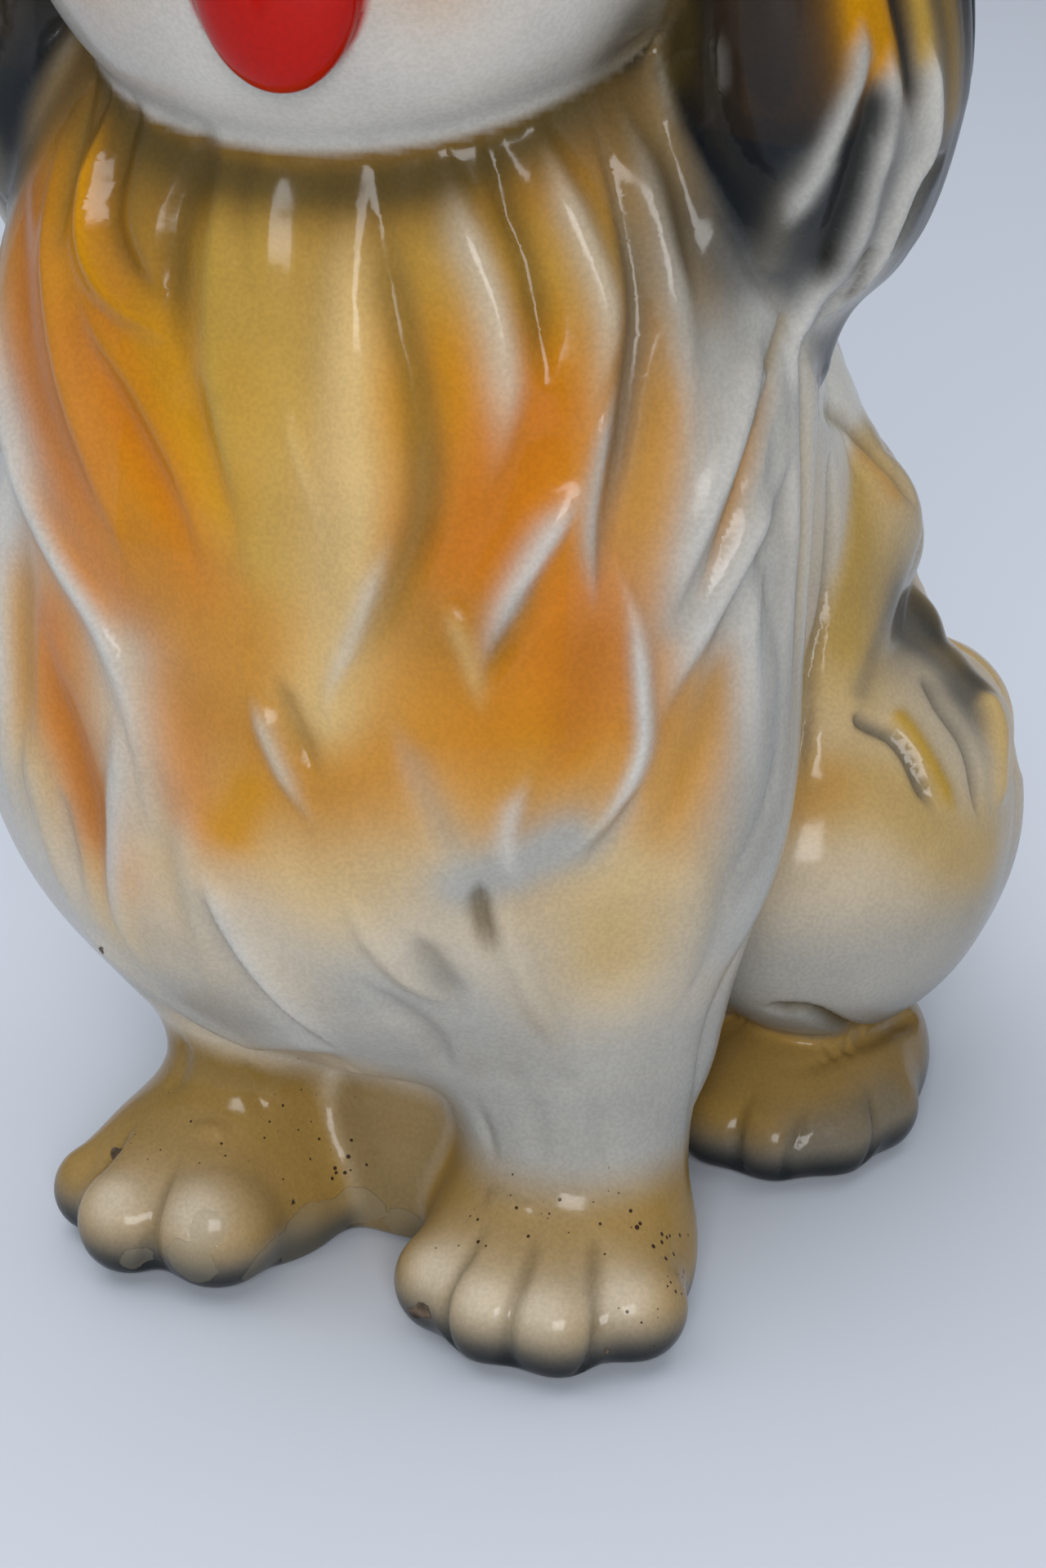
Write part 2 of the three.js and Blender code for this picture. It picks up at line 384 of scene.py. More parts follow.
class Chart:
    """Places on the skin, on which lines are measured: two numbers round the mane, or three in space."""

    def __init__(self, places, normals=None, period=None):
        self.places = places.astype(np.float32)
        self.normals = normals
        self.period = period

    def measure(self, points, reach):
        """How far each place is from the line, how far along it (0 to 1), and on which side (1 or -1)."""
        line = smooth_line(points)
        places = self.places
        if self.period:
            middle = line[:, 0].mean()
            places = places.copy()
            turned = (places[:, 0] - middle + self.period / 2) % self.period
            places[:, 0] = turned - self.period / 2 + middle
        close = np.all((places > line.min(0) - reach) & (places < line.max(0) + reach), axis=1)
        close = np.flatnonzero(close)
        found = np.zeros((3, len(close)), np.float32)
        found[0] = 99.0
        for k, (start, end) in enumerate(zip(line, line[1:])):
            step = end - start
            gap = places[close] - start
            along = np.clip(gap @ step / (step @ step), 0, 1)
            gap = gap - along[:, None] * step
            if self.normals is None:
                turn = step[0] * gap[:, 1] - step[1] * gap[:, 0]
            else:
                normals = self.normals[close]
                gap = gap - 0.85 * (gap * normals).sum(1, keepdims=True) * normals
                turn = (np.cross(step, gap) * normals).sum(1)
            distance = np.linalg.norm(gap, axis=1)
            better = distance < found[0]
            new = np.stack([distance, (k + along) / (len(line) - 1), np.sign(turn)])
            found[:, better] = new[:, better]
        whole = np.zeros((3, len(places)), np.float32)
        whole[0] = 99.0
        whole[:, close] = found
        return whole

    def stroke(self, points, widths, head=0.3, tail=0.45):
        """A brush stroke: 1 along its middle, thinning out to its ends and its two sides."""
        left, right = widths if isinstance(widths, tuple) else (widths, widths)
        distance, share, side = self.measure(points, 2.6 * max(left, right))
        ends = band(share, 0, head) * band(-share, -1, tail - 1)
        width = np.where(side > 0, right, left) * (0.35 + 0.65 * ends)
        return np.exp(-(distance / width) ** 2) * ends

    def cloud(self, points, half_width):
        """A soft airbrushed patch: 1 in the middle and half at its half width."""
        distance = self.measure(points, 3 * half_width)[0]
        return 1 / (1 + (distance / half_width) ** 3)

    def spot(self, centre, radius, edge=0.8):
        distance = self.measure([centre], radius + 3 * edge)[0]
        return np.clip((radius - distance) / edge + 0.5, 0, 1)


# Lines are drawn in the frame's millimetres: on `mane` as (way round the body, height), on `space` as
# (x, y, z), and on `pair` as (x, y, z) of the left side, which the right side repeats.
round_body = MANE_RADIUS * np.arctan2(x, -(y - MANE_AXIS_Y))
mane = Chart(np.stack([round_body, z], 1), period=2 * math.pi * MANE_RADIUS)
space = Chart(fine_points, base_normals)
flip = np.where(x < 0, -1, 1)[:, None] * vec(1, 0, 0) + vec(0, 1, 1)
pair = Chart(fine_points * flip, base_normals * flip)


def skin_of(mass, softness=3.0):
    """1 where the skin belongs to a mass, falling to 0 beside it."""
    return np.clip(1.3 - mass(fine_points) / softness, 0, 1)


on_head = skin_of(head, 1.2)
on_ear = np.maximum(skin_of(ear), skin_of(PAIRS["ear"][1]))
on_eye = np.maximum(skin_of(eye, 1.0), skin_of(PAIRS["eye"][1], 1.0))
on_nose = skin_of(nose, 1.0)
on_tongue = skin_of(tongue, 1.0)
on_tail = skin_of(tail)
on_haunch = np.maximum(skin_of(haunch), skin_of(PAIRS["haunch"][1]))
on_hind_paw = np.maximum(skin_of(hind_paw), skin_of(PAIRS["hind_paw"][1]))
on_foreleg = np.maximum(skin_of(left_foreleg), skin_of(right_foreleg))
on_torso = skin_of(torso) * (1 - on_ear) * band(z, 40, 48)

# ---------- glaze colours (linear light)

# The palest white serves only for a painted highlight on the rump.
SHEEN_WHITE = vec(0.68, 0.65, 0.58)
WHITE = vec(0.50, 0.48, 0.44)
SHELL = vec(0.49, 0.42, 0.32)
CREAM = vec(0.56, 0.39, 0.16)
STRAW = vec(0.43, 0.265, 0.045)
PEACH = vec(0.45, 0.185, 0.008)
GOLD = vec(0.50, 0.215, 0.0)
ORANGE = vec(0.50, 0.15, 0.0)
KHAKI = vec(0.21, 0.125, 0.022)
OLIVE = vec(0.07, 0.047, 0.012)
PEARL = vec(0.35, 0.34, 0.31)
GREY = vec(0.13, 0.12, 0.10)
SOOT = vec(0.006, 0.009, 0.012)
OCHRE = vec(0.30, 0.185, 0.05)
RED = vec(0.40, 0.004, 0.0)
BROWN = vec(0.09, 0.025, 0.006)

# What each point of the skin carries: relief in mm, colour, and how far it lies inside chipped or
# peeled spots, or among pinholes.
count = len(fine_points)
raised = np.zeros(count, np.float32)
sunk = np.zeros(count, np.float32)
paint = np.tile(SHELL, (count, 1))
chips = np.full(count, -4.0, np.float32)
peeled = np.full(count, -4.0, np.float32)
pits = np.zeros(count, np.float32)


def tint(colour, amount):
    paint[:] = paint + (colour - paint) * np.clip(amount, 0, 1)[:, None]


def lift(amount):
    np.maximum(raised, amount, out=raised)


def sink(amount):
    np.maximum(sunk, amount, out=sunk)


def locks(around, along, width, sway, start):
    """Long hair in relief: 1 on the crest of a lock, 0 in the crisp valley beside it."""
    warp = sway * (np.sin(along / 29 + start) + 0.6 * np.sin(along / 15 + around / 21 + 2.1 * start))
    phase = (around + warp) / width
    column = np.floor(phase)
    across = 2 * (phase - column) - 1
    swell = 0.7 + 0.3 * np.sin(column * 2.4 + start + along / 19)
    return np.sqrt(np.maximum(1 - across ** 2, 0)) * swell, np.sin(phase * 1.7 + start)


def clouds(chart, where, rows):
    """Soft patches, each along its row's line: airbrushed colour, and in some rows painted shade or a
    painted highlight.
    """
    for colour, strength, half_width, points in rows:
        tint(colour, strength * where * chart.cloud(points, half_width))


def strokes(chart, where, push, rows, ends=(0.3, 0.45), falloff=1.0):
    """Relief (push is lift or sink) and its colour, each along its row's line."""
    for colour, strength, widths, depth, points in rows:
        shape = chart.stroke(points, widths, *ends) * where
        push(depth * shape)
        tint(colour, strength * shape ** falloff)


# ---------- airbrushed colours of the mane, with painted shade under the chin

low_edge = z + 3 * np.sin(round_body / 9 + 1) + 2 * np.sin(round_body / 4)
tint(PEARL, on_torso)
tint(SHELL, on_torso * band(z, 50, 64))
tint(CREAM, 0.8 * on_torso * band(low_edge, 70, 88) * band(-np.abs(round_body), -90, -62))
tint(PEACH, on_torso * band(low_edge, 84, 106) * band(-np.abs(round_body), -76, -62))
clouds(mane, on_torso, (
    (GOLD, 1.0, 15, ((-64, 184), (-50, 166), (-36, 154), (-22, 150), (-10, 146))),
    (ORANGE, 0.9, 6, ((-50, 172), (-44, 160), (-38, 150), (-31, 139))),
    (ORANGE, 0.9, 7, ((-28, 158), (-22, 150), (-15, 142), (-10, 130))),
    (ORANGE, 0.8, 6.5, ((-42, 150), (-33, 134), (-26, 120), (-19, 104), (-13, 90))),
    (KHAKI, 0.5, 6, ((-22, 182), (-18, 172), (-14, 166))),
    (GOLD, 1.0, 5, ((-16, 162), (-12, 152), (-6, 140))),
    (STRAW, 0.9, 9, ((-6, 172), (1, 160), (2, 146), (2, 134))),
    (CREAM, 0.9, 6, ((10, 172), (11, 155), (10, 140), (9, 122), (7, 110))),
    (STRAW, 0.8, 9, ((22, 174), (32, 172), (42, 172))),
    (GOLD, 1.0, 9, ((24, 157), (34, 158), (43, 156))),
    (ORANGE, 1.0, 8, ((34, 154), (31, 146), (26, 136))),
    (GOLD, 0.9, 5, ((51, 164), (50, 152), (48, 138), (46, 126))),
    (KHAKI, 0.4, 6, ((22, 124), (30, 124))),
    (ORANGE, 1.0, 9, ((39, 126), (38, 114), (36, 107))),
    (GOLD, 1.0, 8, ((38, 104), (34, 97))),
    (GOLD, 1.0, 6, ((58, 116), (56, 104), (50, 92))),
    (SHELL, 0.9, 6, ((-24, 112), (-23, 98), (-22, 86))),
    (CREAM, 0.8, 7, ((-47, 112), (-47, 96), (-46, 84))),
    (ORANGE, 0.9, 4.5, ((-38, 114), (-36, 100), (-32, 90), (-30, 76))),
    (CREAM, 0.7, 5, ((-31, 74), (-33, 64))),
    (GOLD, 0.9, 4, ((-4, 96), (-7, 89))),
    (CREAM, 0.9, 8, ((44, 84), (46, 72))),
    (PEARL, 1.0, 5, ((25, 84), (31, 87), (38, 91))),
    (PEARL, 0.9, 7, ((10, 62), (22, 62), (28, 54))),
    (WHITE, 1.0, 8, ((-58, 148), (-48, 138), (-50, 124))),
    (WHITE, 0.9, 9, ((-56, 90), (-50, 74), (-44, 58))),
    (KHAKI, 0.7, 6, ((52, 188), (53, 176), (56, 164))),
    (PEARL, 0.9, 5, ((58, 160), (57, 148), (55, 134), (54, 124))),
    (PEARL, 1.0, 9, ((68, 168), (66, 150), (65, 130), (67, 110), (67, 90), (66, 70))),
    # Painted shade under the chin, along the top of the mane.
    (OLIVE, 0.75, 8, ((-66, 198), (-44, 189), (-22, 186), (0, 186), (22, 188), (44, 194))),
))

# Wide flutes between the locks, with the colour pooled in them.
strokes(mane, on_torso, sink, (
    (ORANGE, 0.7, 5, 1.6, ((-54, 178), (-49, 166), (-44, 154), (-38, 144), (-31, 135), (-27, 126))),
    (ORANGE, 0.6, 4, 1.3, ((-31, 160), (-25, 152), (-19, 144), (-14, 135), (-10, 124))),
    (GOLD, 0.6, 3.4, 1.2, ((-14, 160), (-10, 149), (-6, 139), (-4, 130))),
    (ORANGE, 0.6, 4, 1.8, ((-40, 116), (-37, 104), (-33, 94), (-31, 84), (-31, 74), (-35, 60))),
    (ORANGE, 0.5, 5, 1.2, ((36, 162), (33, 152), (29, 142), (25, 131), (21, 120))),
    (ORANGE, 0.7, 5, 1.6, ((42, 130), (41, 118), (38, 106), (34, 96))),
    (GOLD, 0.5, 4, 1.3, ((52, 168), (50, 152), (48, 138), (48, 122))),
    (GOLD, 0.6, 4, 1.4, ((60, 122), (58, 110), (54, 98), (48, 86))),
    (PEACH, 0.6, 4, 1.3, ((-44, 130), (-45, 114), (-44, 98), (-44, 84))),
    (PEACH, 0.3, 5, 1.0, ((-16, 116), (-14, 104), (-10, 92))),
    (PEACH, 0.3, 5, 0.9, ((14, 112), (15, 98), (18, 84))),
    (CREAM, 0.3, 5, 1.0, ((-18, 92), (-17, 76), (-14, 60))),
    (STRAW, 0.4, 5, 1.1, ((3, 190), (4, 174), (4, 158), (3, 142))),
    (CREAM, 0.3, 6, 1.0, ((44, 84), (45, 70), (49, 54))),
))

# Dark grooves that part the locks; their olive, khaki and grey is painted shade in the grooves, partly
# glaze pooled in them.
strokes(mane, on_torso, sink, (
    (KHAKI, 0.7, (2.4, 3.4), 2.2, (
        (11, 194), (14, 180), (16, 170), (19, 157), (20, 146), (19, 137), (15, 126), (11, 116),
        (8, 107),
    )),
    (OLIVE, 0.55, (1.8, 2.4), 2.0, ((28, 194), (31, 182), (34, 172), (35, 163), (36, 154))),
    (GREY, 0.75, (1.6, 2.4), 2.2, (
        (44, 196), (47, 182), (48, 170), (46, 157), (44, 146), (42, 134), (43, 124),
    )),
    (OLIVE, 0.5, (2.0, 3.4), 1.7, ((-12, 196), (-16, 182), (-17, 172), (-15, 162), (-11, 152))),
    (OLIVE, 0.45, (1.4, 3.4), 1.8, ((-28, 194), (-30, 184), (-29, 174), (-22, 168), (-14, 164))),
    (KHAKI, 0.5, (2.0, 2.4), 1.3, ((-42, 194), (-41, 182), (-40, 172), (-38, 164))),
    (OLIVE, 0.35, 2.4, 1.3, ((57, 194), (57, 178), (56, 166))),
    (GOLD, 0.7, (1.2, 1.8), 2.0, ((70, 162), (66, 152), (61, 141), (57, 132), (53, 124))),
    (PEARL, 0.6, (2.4, 3.0), 1.6, ((74, 148), (69, 137), (63, 127), (58, 118), (55, 108))),
    (OLIVE, 0.6, (1.3, 1.4), 2.2, ((27, 86), (27, 80), (28, 74), (28, 69))),
    (PEARL, 0.3, (2.0, 3.0), 1.3, ((15, 112), (19, 100), (23, 90), (26, 82))),
    (GREY, 0.4, (2.0, 2.4), 1.5, ((17, 76), (20, 70), (23, 64), (26, 58))),
    (PEARL, 0.5, 2.2, 1.5, ((8, 66), (14, 60), (19, 54), (21, 46), (21, 36))),
    (PEARL, 0.6, (3.4, 1.6), 1.4, ((-16, 84), (-13, 73), (-9, 63), (-4, 54), (-1, 46))),
    (KHAKI, 0.5, (1.6, 2.4), 1.4, ((36, 134), (32, 127), (29, 120), (27, 112))),
    (PEARL, 0.5, (1.0, 1.6), 1.2, ((48, 100), (44, 92), (39, 85))),
    (KHAKI, 0.4, (1.2, 2.0), 1.2, ((-1, 116), (3, 106), (7, 97))),
    (PEARL, 0.5, 2.0, 1.2, ((-58, 152), (-52, 142), (-54, 128))),
    (PEARL, 0.3, 1.6, 1.0, ((-37, 90), (-36, 78), (-38, 62))),
    (OLIVE, 0.3, 1.4, 1.3, ((72, 186), (75, 166), (76, 142), (74, 116), (72, 88))),
    (OLIVE, 0.2, 1.4, 1.1, ((82, 176), (83, 152), (81, 126), (79, 100), (74, 70))),
    (PEARL, 0.5, 2.2, 1.0, ((67, 160), (67, 140), (66, 118), (67, 98))),
    (PEARL, 0.4, 1.6, 0.8, ((40, 50), (42, 40), (44, 30))),
    (PEARL, 0.4, 1.6, 0.7, ((33, 50), (34, 40), (36, 30))),
))

# Crests of the locks, where the glaze runs thin and pale; their white is partly a painted highlight on
# the crests.
strokes(mane, on_torso, lift, (
    (WHITE, 1.0, (3.0, 1.5), 2.2, (
        (-64, 172), (-55, 156), (-47, 142), (-41, 132), (-34, 124), (-27, 117), (-23, 109),
        (-21, 100), (-20, 90), (-18, 78),
    )),
    (WHITE, 0.9, (2.0, 2.6), 1.6, ((-44, 138), (-50, 128), (-50, 114), (-48, 98), (-49, 82), (-51, 66))),
    (WHITE, 0.9, (2.0, 2.4), 1.6, ((-25, 110), (-24, 98), (-26, 86), (-28, 76), (-30, 64), (-30, 50))),
    (SHELL, 0.8, 2.2, 1.4, ((-44, 96), (-41, 84), (-40, 72), (-42, 56))),
    (PEACH, 0.4, (2.6, 2.0), 1.4, (
        (-46, 186), (-42, 172), (-38, 162), (-34, 152), (-29, 142), (-23, 130), (-18, 118),
    )),
    (PEACH, 0.7, (2.2, 2.0), 1.1, (
        (-34, 166), (-28, 160), (-22, 154), (-16, 146), (-11, 135), (-8, 122),
    )),
    (GOLD, 1.0, (2.6, 1.4), 2.0, (
        (-35, 194), (-34, 185), (-34, 178), (-32, 171), (-26, 165), (-17, 162), (-11, 163),
    )),
    (KHAKI, 0.4, (3.6, 4.2), 1.5, ((-24, 194), (-24, 182), (-22, 172), (-19, 166))),
    (STRAW, 0.9, (2.4, 3.6), 1.6, (
        (-11, 194), (-10, 180), (-9, 168), (-8, 156), (-6, 145), (-3, 132), (-1, 118),
    )),
    (STRAW, 0.4, 3.0, 1.0, ((-3, 190), (-3, 176), (-1, 162))),
    (CREAM, 0.85, (5.0, 3.4), 2.0, (
        (9, 190), (10, 174), (11, 157), (12, 142), (11, 128), (9, 115), (7, 103),
    )),
    (SHELL, 0.8, (2.2, 1.2), 1.5, ((17, 140), (14, 130), (11, 121), (8, 113), (7, 103))),
    (CREAM, 0.5, 1.2, 0.7, ((1, 158), (4, 147), (8, 136), (10, 126))),
    (SHELL, 0.8, (4.4, 2.4), 2.0, ((21, 192), (25, 181), (29, 171), (31, 160), (30, 150), (27, 140))),
    (SHELL, 0.8, (3.4, 2.2), 2.0, ((35, 195), (39, 184), (42, 176), (44, 167), (42, 157), (40, 148))),
    (PEARL, 0.9, (2.4, 2.6), 1.7, ((49, 196), (52, 184), (53, 174), (54, 160), (54, 146))),
    (WHITE, 0.9, (3.0, 1.4), 1.6, ((42, 148), (38, 141), (34, 134), (31, 127), (28, 120), (27, 114))),
    (PEARL, 0.8, (1.8, 1.1), 1.1, ((46, 164), (43, 152), (41, 141), (41, 131), (42, 122))),
    (WHITE, 0.95, (3.0, 1.6), 2.0, ((70, 170), (65, 159), (60, 148), (55, 137), (52, 128), (50, 119))),
    (WHITE, 0.95, (3.0, 2.0), 1.9, ((71, 147), (66, 138), (60, 129), (55, 121), (51, 113), (49, 105))),
    (WHITE, 1.0, (1.2, 2.0), 1.9, (
        (43, 136), (46, 125), (47, 114), (47, 105), (44, 97), (40, 91), (35, 85),
    )),
    (SHELL, 0.85, (1.4, 1.8), 1.4, ((-4, 113), (-1, 105), (2, 98), (7, 89))),
    (WHITE, 0.7, (2.2, 1.6), 1.1, ((34, 104), (31, 95), (31, 88), (34, 80))),
    (CREAM, 0.5, 1.8, 0.9, ((22, 130), (26, 119), (28, 108))),
    (WHITE, 0.8, (3.0, 2.6), 1.5, ((62, 142), (63, 124), (64, 106), (64, 84))),
    (SHELL, 0.6, 2.0, 1.6, ((8, 82), (13, 72), (19, 65), (28, 60))),
    (SHELL, 0.6, 2.4, 1.6, ((29, 84), (32, 72), (36, 61), (41, 48))),
    (WHITE, 0.8, (1.4, 3.0), 1.8, ((-13, 84), (-11, 75), (-6, 62), (0, 53), (4, 44))),
    (WHITE, 0.7, 2.0, 1.2, ((66, 190), (70, 170), (72, 146), (71, 122), (70, 96), (68, 70))),
    (WHITE, 0.7, (1.8, 2.0), 1.3, ((76, 184), (79, 164), (79, 140), (77, 112), (75, 84), (70, 58))),
    (CREAM, 0.6, (1.8, 2.4), 1.2, ((85, 176), (86, 150), (84, 122), (82, 94), (77, 66))),
    (SHELL, 0.5, 3.0, 1.2, ((-12, 96), (-15, 82), (-15, 66), (-19, 50))),
    (SHELL, 0.3, 4.0, 1.2, ((54, 90), (57, 72), (57, 52))),
), falloff=1.5)

# The hem of the mane hangs over the right leg.
hem = ((-44, 62), (-36, 54), (-30, 48), (-25, 45), (-19, 43), (-13, 45), (-7, 47), (-1, 48), (4, 45))
under_hem = tuple((s, height - 6) for s, height in hem)
lift(1.1 * mane.stroke(hem, 2.6, 0.1, 0.2) * skin_of(torso, 5))
sink(1.5 * mane.stroke(under_hem, 4.0, 0.1, 0.2) * band(-z, -52, -44))

# ---------- hair round the sides and the back

round_back = band(np.abs(round_body + 7), 62, 78) * skin_of(torso) * (1 - on_ear) * band(z, 6, 20)
crest, _ = locks(round_body, z, 15.0, 7.0, 0.6)
lift(1.9 * crest * round_back)
clouds(space, round_back, (
    (STRAW, 0.8, 20, ((0, 24, 190), (0, 56, 150), (0, 78, 112))),
    (GOLD, 0.9, 9, ((10, 30, 180), (12, 56, 150), (10, 74, 124))),
    (ORANGE, 0.8, 7, ((-14, 34, 174), (-16, 56, 146), (-12, 76, 112))),
    (GOLD, 0.8, 9, ((-48, 10, 140), (-50, 24, 112), (-48, 30, 88))),
    (KHAKI, 0.7, 8, ((-30, 12, 196), (0, 16, 200), (30, 12, 196))),
))
tint(WHITE, 0.6 * round_back * band(crest, 0.75, 1.0))

# ---------- ears

ear_crest, ear_tone = locks(y + 8 * np.sin(z / 30), z, 9.0, 5.0, 2.0)
hidden_ear = on_ear * np.maximum(band(y, -34, -24), band(z, 212, 224))
# Painted shade between the ear and the chest.
tint(KHAKI, 0.8 * pair.cloud(((46, -54, 206), (47, -56, 192), (49, -58, 181), (53, -57, 172)), 5))
tint(SOOT, on_ear)
tint(OLIVE, on_ear * band(z, 232, 250))
ear_front = ((60, -61, 210), (60, -60, 198), (60, -60, 187), (59, -57, 178), (58, -53, 171))
ear_rim = ((79, -47, 198), (79, -46, 188), (76, -45, 180), (71, -42, 170), (65, -38, 161))
tint(SOOT, pair.cloud(ear_front, 7.5))
tint(PEARL, 0.8 * pair.cloud(((57, -51, 162), (61, -45, 156), (60, -46, 150)), 5))
tint(PEARL, on_ear * pair.cloud(ear_rim, 4.5))
lift(1.8 * ear_crest * hidden_ear)
tint(GOLD, 0.75 * hidden_ear * band(ear_crest, 0.4, 0.95) * band(z, 176, 214) * band(ear_tone, -0.3, 0.5))
pale_locks = band(ear_crest, 0.5, 0.95) * band(-z, -206, -170) * band(-ear_tone, -0.4, 0.5)
tint(PEARL, 0.8 * hidden_ear * pale_locks)
clouds(pair, on_ear, (
    (GOLD, 1.0, 3.4, (
        (58, -56, 244), (66, -60, 234), (70, -60, 222), (72, -58, 214), (73, -57, 206),
        (74, -56, 201),
    )),
    (GOLD, 1.0, 3.0, ((68, -50, 244), (73, -54, 233), (74, -55, 222), (75, -54, 212), (76, -53, 203))),
    (STRAW, 1.0, 2.4, ((70, -42, 244), (75, -45, 234), (77, -47, 222), (78, -46, 212), (79, -45, 201))),
    (KHAKI, 1.0, 3.4, (
        (70, -34, 246), (76, -36, 234), (78, -38, 222), (79, -37, 212), (80, -36, 202),
        (80, -36, 192),
    )),
))
strokes(pair, 1.0, lift, (
    (GREY, 0.8, 2.6, 1.2, (
        (71, -60, 192), (66, -59, 184), (63, -57, 179), (60, -52, 173), (58, -51, 167),
    )),
    (PEARL, 1.0, 1.7, 1.3, (
        (73, -57, 208), (73, -58, 200), (72, -59, 196), (71, -60, 192), (69, -60, 187), (66, -59, 182),
        (63, -57, 176),
    )),
    (WHITE, 1.0, 2.2, 1.7, (
        (76, -53, 204), (76, -53, 197), (75, -53, 189), (74, -53, 184), (72, -51, 177),
        (69, -49, 172), (64, -45, 166), (62, -44, 161), (61, -46, 156), (61, -45, 148), (60, -44, 138),
    )),
    (WHITE, 0.9, 1.9, 1.4, (
        (79, -45, 204), (79, -44, 197), (79, -43, 191), (79, -43, 186), (77, -45, 183),
        (75, -45, 177), (73, -44, 172), (70, -43, 168), (65, -40, 162), (62, -42, 156),
    )),
), (0.12, 0.2))
strokes(pair, 1.0, sink, (
    (SOOT, 1.0, 2.7, 1.6, (
        (75, -56, 202), (75, -55, 194), (74, -56, 189), (72, -55, 183), (69, -53, 176), (66, -49, 170),
        (62, -47, 165),
    )),
    (SOOT, 0.95, 2.1, 1.4, (
        (76, -51, 214), (76, -50, 208), (77, -49, 203), (78, -48, 197), (78, -47, 189),
    )),
    (GREY, 0.8, 0.9, 0.9, ((73, -47, 175), (71, -45, 171), (69, -43, 167), (66, -40, 163))),
    (GREY, 0.9, 1.6, 1.2, (
        (79, -34, 185), (78, -38, 182), (77, -40, 178), (75, -41, 174), (73, -42, 171),
    )),
    (KHAKI, 0.6, 1.4, 1.0, ((61, -47, 164), (60, -50, 159), (59, -53, 155))),
), (0.15, 0.25))
for points in (
    ((51, -66, 206), (49, -64, 200), (51, -63, 194)),
    ((54, -64, 206), (55, -63, 199), (53, -62, 194)),
):
    shape = pair.stroke(points, 1.2)
    lift(1.0 * shape)
    tint(GREY, 0.6 * shape)

# ---------- head and face

combed = 60 * np.arctan2(x, y + 92)
crown_crest, crown_tone = locks(combed, y - 0.6 * z, 9.0, 5.0, 1.3)
hairy_head = on_head * (1 - on_ear) * np.maximum(band(z, 262, 274), band(y, -60, -46))
lift(1.8 * crown_crest * hairy_head)
tint(WHITE, on_head * (1 - on_ear))
tint(CREAM, 0.9 * hairy_head)
tint(GOLD, 0.7 * hairy_head * band(crown_tone, -0.4, 0.9) * band(crown_crest, 0.0, 0.6))
tint(KHAKI, 0.7 * hairy_head * band(-crown_tone, -0.2, 1.0))
tint(OLIVE, 0.5 * hairy_head * band(-crown_crest, -0.45, -0.1))
tint(SHELL, 0.6 * hairy_head * band(crown_crest, 0.75, 1.0))
ear_root = ((40, -58, 200), (50, -50, 226), (56, -44, 252), (46, -42, 276))
tint(OLIVE, 0.75 * on_head * (1 - on_ear) * pair.cloud(ear_root, 8))
# Painted shade: the chin turns grey towards its lower edge, and the chest beneath it dark olive.
tint(PEARL, 0.8 * on_head * pair.cloud(((-2, -76, 187), (16, -74, 190), (32, -66, 200)), 5))
under_chin = ((0, -72, 180), (14, -72, 182), (26, -68, 187), (36, -62, 196), (44, -58, 206))
tint(OLIVE, 0.9 * pair.cloud(under_chin, 4.0) * (1 - 0.8 * on_head))
for strength, half_width, points in (
    (0.35, 7, ((14, -90, 222), (24, -84, 214))),
    (0.5, 6, ((12, -86, 262), (26, -84, 266), (38, -76, 260))),
):
    tint(PEACH, strength * on_head * pair.cloud(points, half_width))
mouth = ((0, -104, 229), (0, -101, 222), (7, -100, 218), (15, -95, 217), (22, -89, 221))
shape = pair.stroke(mouth, 1.3, 0.05, 0.2) * on_head
sink(1.4 * shape)
tint(BROWN, 0.8 * shape)
tint(RED, on_tongue)
sink(0.8 * space.stroke(((4, -99, 224), (5, -99, 215), (5, -98, 205)), 1.5) * on_tongue)
tint(SOOT, on_nose)
sink(1.2 * pair.spot((4.5, -103, 235), 1.5, 1.2) * on_nose)
tint(0.5 * BROWN, on_eye)
tint(SOOT, on_eye * pair.spot((25, -88, 250), 3.6))
tint(WHITE, on_eye * pair.spot((27.5, -87.5, 253), 1.3))
lid_angles = np.radians(range(-20, 201, 22))
lids = tuple((25 + 10.6 * math.cos(t), -81.5, 250 + 10.6 * math.sin(t)) for t in lid_angles)
shape = pair.stroke(lids, 1.5, 0.1, 0.1)
lift(1.2 * shape)
tint(SOOT, 0.95 * shape)
for lean, top in ((-8, 286), (-3, 288), (3, 288), (8, 286)):
    fringe = ((lean * 0.6, -66, top), (lean * 1.6, -86, 270), (lean * 2.2, -93, 256))
    shape = space.stroke(fringe, 2.6, 0.2, 0.5) * on_head
    lift(1.6 * shape)

# ---------- haunches, flank and tail

